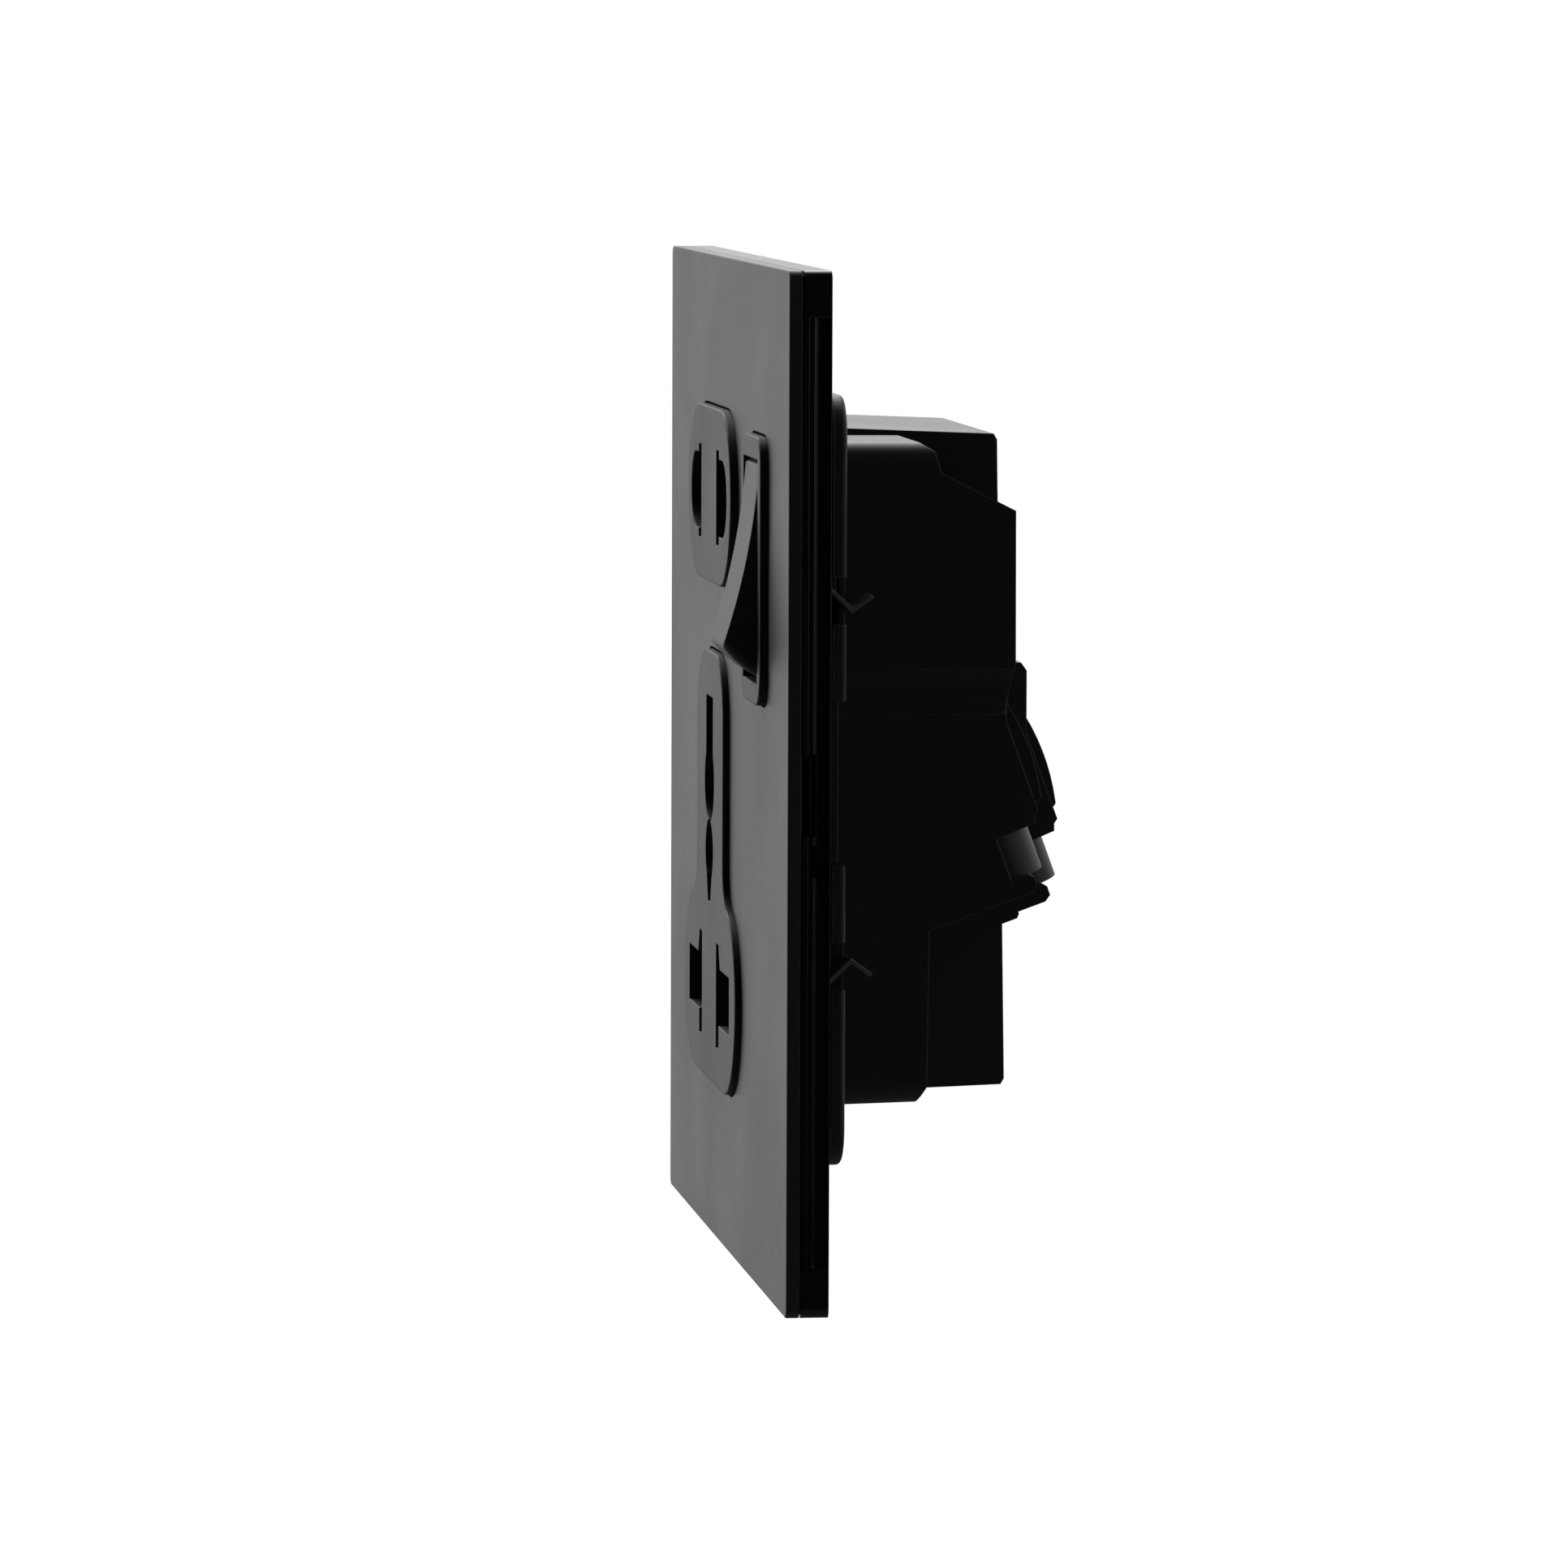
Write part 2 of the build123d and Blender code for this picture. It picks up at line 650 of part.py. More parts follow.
# ---- Contact cover: closes the housing and guides both shutters ----
with BuildPart() as contact_cover:
    cover_left = chamber_left + cover_clearance
    cover_right = chamber_right - cover_clearance
    cover_half = chamber_half - cover_clearance
    with BuildSketch(front(cover_front)):
        with Locations(((cover_left + cover_right) / 2, 0)):
            Rectangle(cover_right - cover_left, 2 * cover_half)
    into_wall(cover_front, cover_back)
    with BuildSketch(front(shutter_front)):
        guide_offset = shutter_half_width + guide_clearance + guide_thickness / 2
        for direction in (-1, 1):
            with Locations((outlet_x + direction * guide_offset, 0)):
                Rectangle(guide_thickness, 2 * cover_half)
        stop_width = 2 * spring_slot_half - 0.4
        with Locations((outlet_x, two_pin_stop_z - stop_thickness / 2)):
            Rectangle(stop_width, stop_thickness)
        with Locations((arm_x, three_pin_stop_z + stop_thickness / 2)):
            Rectangle(stop_width, stop_thickness)
    into_wall(shutter_front, cover_front)
    # runner strips behind the shutters
    with BuildSketch(front(shutter_back + 0.1)):
        for direction in (-1, 1):
            for z in (two_pin_z - shutter_travel / 2, three_pin_z + shutter_travel / 2):
                with Locations((outlet_x + direction * (jaw_inner - 1.3), z)):
                    Rectangle(0.9, 13.0)
    into_wall(shutter_back + 0.1, cover_front)
    with BuildSketch(front(shutter_front)):
        two_pin_holes(0.3)
        line_neutral_holes(0.3)
    into_wall(shutter_front, cover_back, Mode.SUBTRACT)
    with BuildSketch(front(shutter_front)):
        earth_holes(0.3)
    into_wall(shutter_front, cover_back, Mode.SUBTRACT)
finish(contact_cover, "contact_cover")


# ---- Rear housing ----
def tower_profile(corner, top_z, root_y, underside, rim_depth):
    """Side outline (y, z) of a terminal tower: slanted wire face, recess beside the screw
    tubes, their end flange and the underside square to the screws."""
    back_y = corner[0]
    root_depth = (back_y + underside * sin_tilt - root_y) / cos_tilt
    return [(root_y, top_z), (back_y - 0.5, top_z), (back_y, top_z - 0.7), corner,
            tower_point(corner, wire_face_length - 0.3, 0), tower_point(corner, wire_face_length, 0.4),
            tower_point(corner, wire_face_length + 0.6, 0.6),
            tower_point(corner, wire_face_length + 0.8, screw_axis_depth),
            tower_point(corner, screw_tube_end, screw_axis_depth),
            tower_point(corner, screw_tube_end, rim_depth + 0.4),
            tower_point(corner, screw_tube_end + 0.4, rim_depth),
            tower_point(corner, underside - 0.4, rim_depth),
            tower_point(corner, underside, rim_depth + 0.6),
            tower_point(corner, underside, root_depth)]


def fill_profile(points):
    """Closed straight-sided outline for the caller's sketch."""
    with BuildLine() as outline:
        Polyline(*points, close=True)
    make_face(outline.edges())


def screw_tubes(corner, places, radius):
    """Round tubes round the clamp screws, down to the towers' end flange."""
    for x in places:
        axis_y, axis_z = tower_point(corner, wire_face_length - 1.0, screw_axis_depth)
        down = Plane(origin=(x, axis_y, axis_z), z_dir=(0, sin_tilt, -cos_tilt))
        with BuildSketch(down) as disc:
            Circle(radius)
        extrude(disc.sketch, amount=screw_tube_end - wire_face_length + 1.0 + 0.2)


def terminal_hollows(corner, places, reach, underside):
    """Pocket for each clamp, its wire hole, and the bore that its screw and the driver use."""
    for x in places:
        pocket = tilted(x - cage_width / 2 - 0.1, *corner, terminal_tilt)
        with BuildSketch(pocket) as room:
            with Locations((-(cage_back - 0.1 + reach) / 2, -(cage_top + cage_bottom) / 2)):
                Rectangle(reach - cage_back + 0.1, cage_bottom - cage_top + 0.2)
        extrude(room.sketch, amount=cage_width + 0.2, mode=Mode.SUBTRACT)
        face_y, face_z = tower_point(corner, wire_hole_depth, -0.5 - fin_bulge)
        wire_axis = Plane(origin=(x, face_y, face_z), z_dir=(0, -cos_tilt, -sin_tilt))
        with BuildSketch(wire_axis) as wire_hole:
            Circle(wire_hole_radius)
        extrude(wire_hole.sketch, amount=cage_back + 1.0 + fin_bulge, mode=Mode.SUBTRACT)
        end_y, end_z = tower_point(corner, underside + 0.5, screw_axis_depth)
        screw_axis = Plane(origin=(x, end_y, end_z), z_dir=(0, -sin_tilt, cos_tilt))
        with BuildSketch(screw_axis) as bore:
            Circle(screw_bore_radius)
        extrude(bore.sketch, amount=underside + 0.5 - cage_bottom, mode=Mode.SUBTRACT)


def tower_fins(corner, places):
    """Bulged fins between the wire holes, each ending in a rounded foot."""
    head = tower_point(corner, -fin_rise, -fin_head)
    crown = tower_point(corner, wire_face_length / 2, -fin_bulge)
    foot = tower_point(corner, wire_face_length - 0.7, -fin_foot)
    bend = tower_point(corner, wire_face_length - 0.3, -fin_foot + 0.2)
    toe = tower_point(corner, wire_face_length - 0.2, -fin_foot + 0.6)
    end = tower_point(corner, wire_face_length - 0.1, 0.8)
    root = tower_point(corner, -fin_rise, 0.8)
    for x in places:
        with BuildSketch(side(x - fin_thickness / 2)) as fin:
            with BuildLine() as edge:
                ThreePointArc(head, crown, foot)
                ThreePointArc(foot, bend, toe)
                Polyline(toe, end, root, head)
            make_face(edge.edges())
        extrude(fin.sketch, amount=fin_thickness)


switch_corner = (switch_tower_y, switch_tower_z)
socket_corner = (socket_tower_y, socket_tower_z)
with BuildPart() as rear_housing:
    # front flange
    with BuildSketch(front(flange_front)):
        RectangleRounded(flange_width, flange_height, flange_corner)
    into_wall(flange_front, flange_back)
    fillet(faces().sort_by(Axis.Y)[-1].edges(), flange_round)
    # deep box behind the outlets
    with BuildSketch(side(socket_left)):
        root_half = socket_half_height + housing_draft
        back_top = socket_back - socket_back_lean
        back_foot = socket_back + socket_back_lean
        fill_profile([(flange_back - 0.5, root_half), (back_top - 0.3, socket_half_height),
                      (back_top, socket_half_height - 0.5), (back_foot, -socket_half_height + 0.5),
                      (back_foot - 0.3, -socket_half_height), (flange_back - 0.5, -root_half)])
    extrude(amount=socket_right - socket_left)
    # shallower box behind the switch
    with BuildSketch(side(socket_right - 1)):
        low = -switch_half_height
        fill_profile([(flange_back - 0.5, switch_half_height), (10.25, switch_half_height - 0.05),
                      (11.45, switch_half_height - 0.75), (11.95, 25.5), (switch_back - 0.05, 22.3),
                      (switch_back, 9.3), (switch_tower_y, 5.6), (switch_tower_y, 4.0), (14.0, -8.0),
                      (switch_low_back + 0.2, -13.0), (switch_low_back, low + 1.6), (switch_low_back - 0.8, low + 0.2),
                      (flange_back - 0.5, low)])
    extrude(amount=switch_right - socket_right + 1)
    fillet([e for e in edges().filter_by(GeomType.LINE) if abs(e.center().X - switch_right) < 0.01
            and abs(abs(e.center().Z) - switch_half_height) < 0.2 and e.length > 5], switch_soft_edge)
    # terminal towers
    with BuildSketch(side(socket_left)):
        fill_profile(tower_profile(socket_corner, 8.4, socket_back - 1.0, socket_underside, socket_rim_depth))
    extrude(amount=socket_right - socket_left)
    with BuildSketch(side(socket_right)):
        fill_profile(tower_profile(switch_corner, 5.6, switch_low_back - 0.5, switch_underside, switch_rim_depth))
    extrude(amount=switch_right - socket_right)
    with BuildSketch(side(socket_left)):
        foot_end = socket_underside + socket_foot_step
        foot_root = (socket_tower_y + foot_end * sin_tilt - socket_back + 1.0) / cos_tilt
        fill_profile([tower_point(socket_corner, foot_end - 1.0, socket_foot_depth),
                      tower_point(socket_corner, foot_end - 0.3, socket_foot_depth),
                      tower_point(socket_corner, foot_end, socket_foot_depth + 0.3),
                      tower_point(socket_corner, foot_end, foot_root),
                      tower_point(socket_corner, foot_end - 1.0, foot_root)])
    extrude(amount=socket_right - socket_left)
    screw_tubes(socket_corner, terminal_x, socket_tube_radius)
    screw_tubes(switch_corner, switch_terminal_x, switch_tube_radius)
    tower_fins(socket_corner, [sum(terminal_x[:2]) / 2, sum(terminal_x[1:]) / 2])
    tower_fins(switch_corner, [sum(switch_terminal_x) / 2, switch_left - fin_thickness / 2])
    # level channel along the right side, open at the back
    with BuildSketch(Plane.XZ.offset(-flange_back)):
        with Locations((switch_right + channel_swell, channel_z)):
            Ellipse(channel_depth + channel_swell, channel_height / 2)
    extrude(amount=-(switch_back + 1.0 - flange_back), mode=Mode.SUBTRACT)
    # outlets' chamber, then its narrower deep part
    with BuildSketch(front(flange_front)):
        with Locations(((chamber_left + chamber_right) / 2, 0)):
            Rectangle(chamber_right - chamber_left, 2 * chamber_half)
    into_wall(flange_front, cover_back, Mode.SUBTRACT)
    deep_left = chamber_left + 0.6
    with BuildSketch(front(cover_back)):
        with Locations(((deep_left + deep_right) / 2, 0)):
            Rectangle(deep_right - deep_left, 2 * (chamber_half - 0.6))
    into_wall(cover_back, socket_floor, Mode.SUBTRACT)
    with BuildSketch(front(cover_back)):
        with Locations(((deep_right + chamber_right - 0.6) / 2, 0)):
            Rectangle(chamber_right - 0.6 - deep_right, 2 * (chamber_half - 0.6))
    into_wall(cover_back, switch_low_back - wall, Mode.SUBTRACT)
    # switch's chamber
    with BuildSketch(side(switch_left)):
        fill_profile([(flange_front, chamber_half - 0.2), (10.3, chamber_half - 0.2), (11.0, 24.8),
                      (switch_back - wall, 21.4), (switch_back - wall, 6.0), (switch_tower_y - wall - 0.3, 3.6),
                      (switch_low_back - wall, -3.0), (switch_low_back - wall, -chamber_half + 0.2),
                      (flange_front, -chamber_half + 0.2)])
    extrude(amount=switch_inner_right - switch_left, mode=Mode.SUBTRACT)
    # room behind the rocker's bearings
    with BuildSketch(front(flange_front)):
        with Locations((switch_x, switch_z)):
            Rectangle(2 * ear_reach + 0.3, 2 * (rocker_radius - 1.0))
    into_wall(flange_front, flange_back - 0.5, Mode.SUBTRACT)
    terminal_hollows(socket_corner, terminal_x, clamp_pocket_depth, foot_end)
    terminal_hollows(switch_corner, switch_terminal_x, clamp_pocket_depth, switch_underside)
    # notches for the wall box's posts and the spring clips, holes for the screws
    with BuildSketch(front(flange_front)):
        for direction in (-1, 1):
            with Locations((direction * (flange_width - post_notch_depth) / 2, 0)):
                Rectangle(post_notch_depth, post_notch_height)
            for level in (-1, 1):
                middle = level * (clip_notch_low + clip_notch_high) / 2
                with Locations((direction * (flange_width - clip_notch_depth) / 2, middle)):
                    Rectangle(clip_notch_depth, clip_notch_high - clip_notch_low)
    into_wall(flange_front, flange_back, Mode.SUBTRACT)
    for level in (-1, 1):
        for direction in (-1, 1):
            screw_plane = Plane(origin=(direction * housing_screw_x, flange_back, level * housing_screw_z),
                                z_dir=(0, 1, 0))
            with Locations(screw_plane):
                CounterSinkHole(housing_screw_hole, housing_screw_head + 0.05, depth=flange_back - flange_front)
finish(rear_housing, "rear_housing")


# ---- Outlet contacts ----
def strip(points, thickness):
    """Bent strip of even thickness along a path, for the caller's sketch."""
    with BuildLine() as path:
        Polyline(*points)
    trace(path.edges(), line_width=thickness)


def rising_strip(corner, x, strip_y, top_z):
    """Strip from inside a clamp, out past the clamp's front, then up to its contact."""
    down = cage_top + cage_wall + tab_clearance + contact_thickness / 2
    bend = tower_point(corner, down, cage_front + 1.2)
    with BuildSketch(side(x - tab_width / 2)) as profile:
        strip([tower_point(corner, down, cage_back + 0.3), bend, (bend[0], corner[1] - 2.0),
               (strip_y, corner[1] + 1.5), (strip_y, top_z)], contact_thickness)
    extrude(profile.sketch, amount=tab_width)


def terminal_tab(corner, x, meet_y):
    """Level tongue from the strip at meet_y into the clamp, under the clamp's top wall."""
    down = cage_top + cage_wall + tab_clearance
    reach = (corner[0] + down * sin_tilt - meet_y) / cos_tilt
    start = cage_back + 0.3
    with BuildSketch(tilted(x - tab_width / 2, *corner, terminal_tilt)) as tongue:
        with Locations((-(start + reach) / 2, -(down + tab_thickness / 2))):
            Rectangle(reach - start, tab_thickness)
    extrude(tongue.sketch, amount=tab_width)


def pin_contact(direction):
    """Two spring jaws, one per outlet, on an upright strip with a tongue into the clamp."""
    x = outlet_x + direction * two_pin_round_offset
    jaw_x = [outlet_x + direction * jaw_inner, outlet_x + direction * jaw_outer]
    for z in (two_pin_z, three_pin_z):
        with BuildSketch(side(min(jaw_x))) as jaw:
            strip([(contact_tip, z + jaw_half_gap), (contact_tip + 1.8, z + jaw_half_gap - jaw_pinch),
                   (contact_base, z + jaw_half_gap), (contact_base, z - jaw_half_gap),
                   (contact_tip + 1.8, z - jaw_half_gap + jaw_pinch), (contact_tip, z - jaw_half_gap)],
                  contact_thickness)
        extrude(jaw.sketch, amount=jaw_outer - jaw_inner)
    with BuildSketch(front(contact_base - contact_thickness / 2)) as bus:
        with Locations((x, (two_pin_z + three_pin_z) / 2)):
            Rectangle(bus_width, two_pin_z - three_pin_z)
    extrude(bus.sketch, amount=-contact_thickness)
    terminal_tab(socket_corner, x, contact_base)


with BuildPart() as line_contact:
    pin_contact(1)
finish(line_contact, "line_contact")

with BuildPart() as neutral_contact:
    pin_contact(-1)
finish(neutral_contact, "neutral_contact")

with BuildPart() as earth_contact:
    with BuildSketch(Plane.XY.offset(earth_jaw_bottom)):
        strip([(outlet_x - earth_half_gap - 0.4, contact_tip), (outlet_x - earth_half_gap + 0.5, contact_tip + 1.8),
               (outlet_x - earth_half_gap, contact_base), (outlet_x + earth_half_gap, contact_base),
               (outlet_x + earth_half_gap - 0.5, contact_tip + 1.8), (outlet_x + earth_half_gap + 0.4, contact_tip)],
              contact_thickness)
    extrude(amount=earth_jaw_top - earth_jaw_bottom)
    terminal_tab(socket_corner, outlet_x, contact_base)
finish(earth_contact, "earth_contact")


# ---- Terminal clamps and their screws ----
def clamp_cage(corner, x):
    """Box clamp: the wire and the tongue pass through its window, the screw through its foot."""
    foot = 1.7
    with BuildSketch(tilted(x - cage_width / 2, *corner, terminal_tilt)) as block:
        with Locations((-(cage_back + cage_front) / 2, -(cage_top + cage_bottom) / 2)):
            Rectangle(cage_front - cage_back, cage_bottom - cage_top)
    extrude(block.sketch, amount=cage_width)
    window_half = cage_width / 2 - cage_wall
    with BuildSketch(tilted(x - window_half, *corner, terminal_tilt)) as window:
        with Locations((-(cage_back + cage_front) / 2, -(cage_top + cage_wall + cage_bottom - foot) / 2)):
            Rectangle(cage_front - cage_back + 1, cage_bottom - foot - cage_top - cage_wall)
    extrude(window.sketch, amount=2 * window_half, mode=Mode.SUBTRACT)
    with BuildSketch(screw_plane_at(corner, x, cage_bottom + 0.5)) as thread:
        Circle(clamp_screw_radius + clamp_screw_clearance)
    extrude(thread.sketch, amount=-(foot + 1.0), mode=Mode.SUBTRACT)


def screw_plane_at(corner, x, down):
    """Plane across a clamp screw's axis, facing its head."""
    y, z = tower_point(corner, down, screw_axis_depth)
    return Plane(origin=(x, y, z), x_dir=(1, 0, 0), z_dir=(0, sin_tilt, -cos_tilt))


def clamp_screw(corner, x):
    """Screw with a cheese head and a cross recess."""
    tip = cage_top + cage_wall + tab_clearance + tab_thickness + 2.4
    head_start = screw_tube_end - 0.4 - screw_head_length
    with BuildSketch(screw_plane_at(corner, x, tip)) as shank:
        Circle(clamp_screw_radius)
    extrude(shank.sketch, amount=head_start - tip)
    with BuildSketch(screw_plane_at(corner, x, head_start)) as head:
        Circle(screw_head_radius)
    extrude(head.sketch, amount=screw_head_length)
    with BuildSketch(screw_plane_at(corner, x, head_start + screw_head_length)) as recess:
        Rectangle(2.6, 0.6)
        Rectangle(0.6, 2.6)
    extrude(recess.sketch, amount=-0.9, mode=Mode.SUBTRACT)


terminals = [(name, socket_corner, x) for name, x in zip(terminal_names, terminal_x)]
terminals += [(name, switch_corner, x) for name, x in zip(switch_terminal_names, switch_terminal_x)]
for name, corner, x in terminals:
    with BuildPart() as clamp:
        clamp_cage(corner, x)
    finish(clamp, f"{name}_terminal_clamp")
    with BuildPart() as screw:
        clamp_screw(corner, x)
    finish(screw, f"{name}_terminal_screw")

# ---- Switch bezel ----
with BuildPart() as switch_bezel:
    with BuildSketch(front(bezel_face)):
        bezel_outline()
    into_wall(bezel_face, seat)
    fillet(faces().sort_by(Axis.Y)[0].edges(), bezel_round)
    with BuildSketch(front(seat - insert_flange_thickness)):
        bezel_outline(bezel_flange)
    into_wall(seat - insert_flange_thickness, seat)
    with BuildSketch(front(bezel_face)):
        with Locations((switch_x, switch_z)):
            Rectangle(rocker_window_width, rocker_window_height)
    into_wall(bezel_face, seat, Mode.SUBTRACT)
    with BuildSketch(front(bezel_face + bezel_lip)):
        with Locations((switch_x, switch_z)):
            Rectangle(rocker_width + 0.6, 2 * switch_cavity_half)
    into_wall(bezel_face + bezel_lip, seat, Mode.SUBTRACT)
    ear_back = rocker_pivot_y + pin_radius + pin_clearance + ear_margin
    ear_half = pin_radius + ear_margin + 0.3
    for direction in (-1, 1):
        ear_middle = switch_x + direction * (ear_reach - ear_thickness / 2)
        with BuildSketch(side(ear_middle - ear_thickness / 2)):
            with Locations(((seat - 0.5 + ear_back) / 2, switch_z)):
                Rectangle(ear_back - seat + 0.5, 2 * ear_half)
            with Locations((rocker_pivot_y, switch_z)):
                Circle(pin_radius + pin_clearance, mode=Mode.SUBTRACT)
        extrude(amount=ear_thickness)
finish(switch_bezel, "switch_bezel")


# ---- Rocker, with its plunger and spring in the leg ----
def rocker_plane(x):
    """Seen from the right, centred on the pivot: first axis into the wall, second axis up,
    both turned with the rocker as it rests, top edge pressed in."""
    return tilted(x, rocker_pivot_y, switch_z, -rocker_tilt)


def on_rocker_arc(angle, side_sign):
    return (-rocker_radius * cos(radians(angle)), side_sign * rocker_radius * sin(radians(angle)))


leg_plane = Plane(origin=(leg_x, rocker_pivot_y, switch_z), x_dir=(1, 0, 0),
                  z_dir=(0, cos(radians(-rocker_tilt)), sin(radians(-rocker_tilt))))
middle_angle = (rocker_face_angle + rocker_skirt_angle) / 2
face_depth = rocker_radius * cos(radians(rocker_face_angle))
with BuildPart() as rocker:
    with BuildSketch(rocker_plane(switch_x - rocker_width / 2)):
        with BuildLine():
            ThreePointArc(on_rocker_arc(rocker_face_angle, 1), (rocker_sag - face_depth, 0),
                          on_rocker_arc(rocker_face_angle, -1))
            ThreePointArc(on_rocker_arc(rocker_face_angle, -1), on_rocker_arc(middle_angle, -1),
                          on_rocker_arc(rocker_skirt_angle, -1))
            Polyline(on_rocker_arc(rocker_skirt_angle, -1), (-1.2, -8.2), (1.0, -2.0), (1.0, 2.0), (-1.2, 8.2),
                     on_rocker_arc(rocker_skirt_angle, 1))
            ThreePointArc(on_rocker_arc(rocker_skirt_angle, 1), on_rocker_arc(middle_angle, 1),
                          on_rocker_arc(rocker_face_angle, 1))
        make_face()
    extrude(amount=rocker_width)
    fillet(faces().sort_by(Axis.Y)[0].edges(), rocker_edge_round)
    with BuildSketch(rocker_plane(switch_x - rocker_width / 2 + rocker_wall)):
        for direction in (-1, 1):
            inner_face = rocker_wall + 0.5 - face_depth
            hollow = [(inner_face, direction * 2.4), (inner_face, direction * 5.4), (-3.4, direction * 7.4),
                      (1.6, direction * 7.4), (1.6, direction * 2.4)]
            with BuildLine():
                Polyline(*hollow, close=True)
            make_face()
    extrude(amount=rocker_width - 2 * rocker_wall, mode=Mode.SUBTRACT)
    with BuildSketch(side(switch_x - ear_reach + 0.1)):
        with Locations((rocker_pivot_y, switch_z)):
            Circle(pin_radius)
    extrude(amount=2 * ear_reach - 0.2)
    with BuildSketch(leg_plane):
        Rectangle(leg_width, leg_height)
    extrude(amount=leg_length)
    with BuildSketch(leg_plane.offset(leg_length)):
        Circle(plunger_radius + plunger_bore_clearance)
    extrude(amount=1.3 - leg_length, mode=Mode.SUBTRACT)
finish(rocker, "rocker")

with BuildPart() as plunger:
    with BuildSketch(leg_plane.offset(leg_length - 1.6)):
        Circle(plunger_radius)
    extrude(amount=plunger_reach - leg_length + 1.6)
    fillet(edges().sort_by(Axis.Y)[-1:], plunger_radius - 0.1)
finish(plunger, "switch_plunger")

with BuildPart() as plunger_spring:
    turns = 5
    coil_length = leg_length - 1.6 - 1.3 - 2 * plunger_spring_wire - 0.1
    with BuildLine() as spring_path:
        spring_coil = Helix(pitch=coil_length / turns, height=coil_length,
                            radius=plunger_radius - plunger_spring_wire - 0.05)
    with BuildSketch(Plane(origin=spring_coil @ 0, z_dir=spring_coil % 0)):
        Circle(plunger_spring_wire)
    sweep(path=spring_path.wires()[0], is_frenet=True)
plunger_spring.part = leg_plane.offset(1.35 + plunger_spring_wire).location * plunger_spring.part
finish(plunger_spring, "switch_plunger_spring")

# ---- Switch contacts ----
feed_x = switch_terminal_x[1]
with BuildPart() as lever:
    with BuildSketch(tilted(leg_x - lever_width / 2, lever_y, switch_z, lever_tilt)):
        Rectangle(lever_thickness, 2 * lever_half_length)
    extrude(amount=lever_width)
    pin_half = lever_width / 2 + 0.1 + yoke_thickness
    with BuildSketch(side(leg_x - pin_half)):
        with Locations((lever_y, switch_z)):
            Circle(lever_pin_radius)
    extrude(amount=2 * pin_half)
    rivet_v = lever_half_length - 1.2
    rivet_plane = Plane(origin=(leg_x, lever_y, switch_z), x_dir=(1, 0, 0),
                        z_dir=(0, cos(radians(lever_tilt)), sin(radians(lever_tilt))))
    with BuildSketch(rivet_plane.offset(lever_thickness / 2)):
        with Locations((0, -rivet_v)):
            Circle(rivet_radius)
    extrude(amount=rivet_height)
finish(lever, "switch_contact_lever")

feed_strip_y = lever_y + 3.0
with BuildPart() as feed_contact:
    rising_strip(switch_corner, feed_x, feed_strip_y + contact_thickness / 2, switch_z)
    with BuildSketch(front(feed_strip_y)):
        with Locations((leg_x, switch_z)):
            Rectangle(2 * pin_half, 4.2)
    into_wall(feed_strip_y, feed_strip_y + contact_thickness)
    for direction in (-1, 1):
        cheek = leg_x + direction * (lever_width / 2 + 0.1 + yoke_thickness / 2)
        with BuildSketch(side(cheek - yoke_thickness / 2)):
            with Locations(((lever_y - 1.1 + feed_strip_y + 0.1) / 2, switch_z)):
                Rectangle(feed_strip_y + 0.1 - lever_y + 1.1, 2.4)
            with Locations((lever_y, switch_z)):
                Circle(lever_pin_radius + lever_pin_clearance, mode=Mode.SUBTRACT)
        extrude(amount=yoke_thickness)
finish(feed_contact, "switch_feed_contact")

with BuildPart() as fixed_contact:
    closed_plane = Plane(origin=(leg_x, lever_y, switch_z), x_dir=(1, 0, 0),
                         z_dir=(0, cos(radians(-lever_tilt)), sin(radians(-lever_tilt))))
    rivet_level = lever_thickness / 2 + rivet_height + rivet_gap
    with BuildSketch(closed_plane.offset(rivet_level)):
        with Locations((0, -rivet_v)):
            Circle(rivet_radius)
    extrude(amount=rivet_height)
    strip_left = switch_terminal_x[0] - tab_width / 2
    with BuildSketch(closed_plane.offset(rivet_level + rivet_height)):
        with Locations(((strip_left - leg_x + 1.1) / 2, -rivet_v)):
            Rectangle(leg_x + 1.1 - strip_left, 1.8)
    extrude(amount=contact_thickness)
    rising_strip(switch_corner, switch_terminal_x[0], lever_y + 2.5, switch_z + rivet_v + 0.5)
finish(fixed_contact, "switch_fixed_contact")

# ---- Spring clips beside the flange ----
for height_name, level in (("upper", 1), ("lower", -1)):
    for side_name, direction in (("left", -1), ("right", 1)):
        start_x = clip_inner_x if direction > 0 else -clip_inner_x - clip_width
        with BuildPart() as clip:
            with BuildSketch(side(start_x)):
                with BuildLine():
                    Polyline((0.2, level * (clip_z - 3.1)), (0.2, level * (clip_z - 0.05)),
                             (1.3, level * (clip_z - 0.45)), (3.15, level * (clip_z - 2.2)),
                             (4.85, level * (clip_z - 1.0)))
                trace(line_width=clip_thickness)
            extrude(amount=clip_width)
        finish(clip, f"{height_name}_{side_name}_spring_clip")

# ---- Countersunk screws that hold the housing to the frame ----
with BuildPart() as housing_screws:
    for level in (-1, 1):
        for direction in (-1, 1):
            head_plane = Plane(origin=(direction * housing_screw_x, flange_back, level * housing_screw_z),
                               z_dir=(0, -1, 0))
            with BuildSketch(head_plane) as head_disc:
                Circle(housing_screw_head)
            extrude(head_disc.sketch, amount=housing_screw_head - housing_screw_radius, taper=45)
            with BuildSketch(head_plane.offset(0.3)) as shank_disc:
                Circle(housing_screw_radius)
            extrude(shank_disc.sketch, amount=housing_screw_length - 0.3)
            with BuildSketch(head_plane) as cross:
                Rectangle(2.2, 0.5)
                Rectangle(0.5, 2.2)
            extrude(cross.sketch, amount=0.5, mode=Mode.SUBTRACT)
finish(housing_screws, "housing_screws")
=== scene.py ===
import json
import math

import bpy
from mathutils import Matrix, Vector

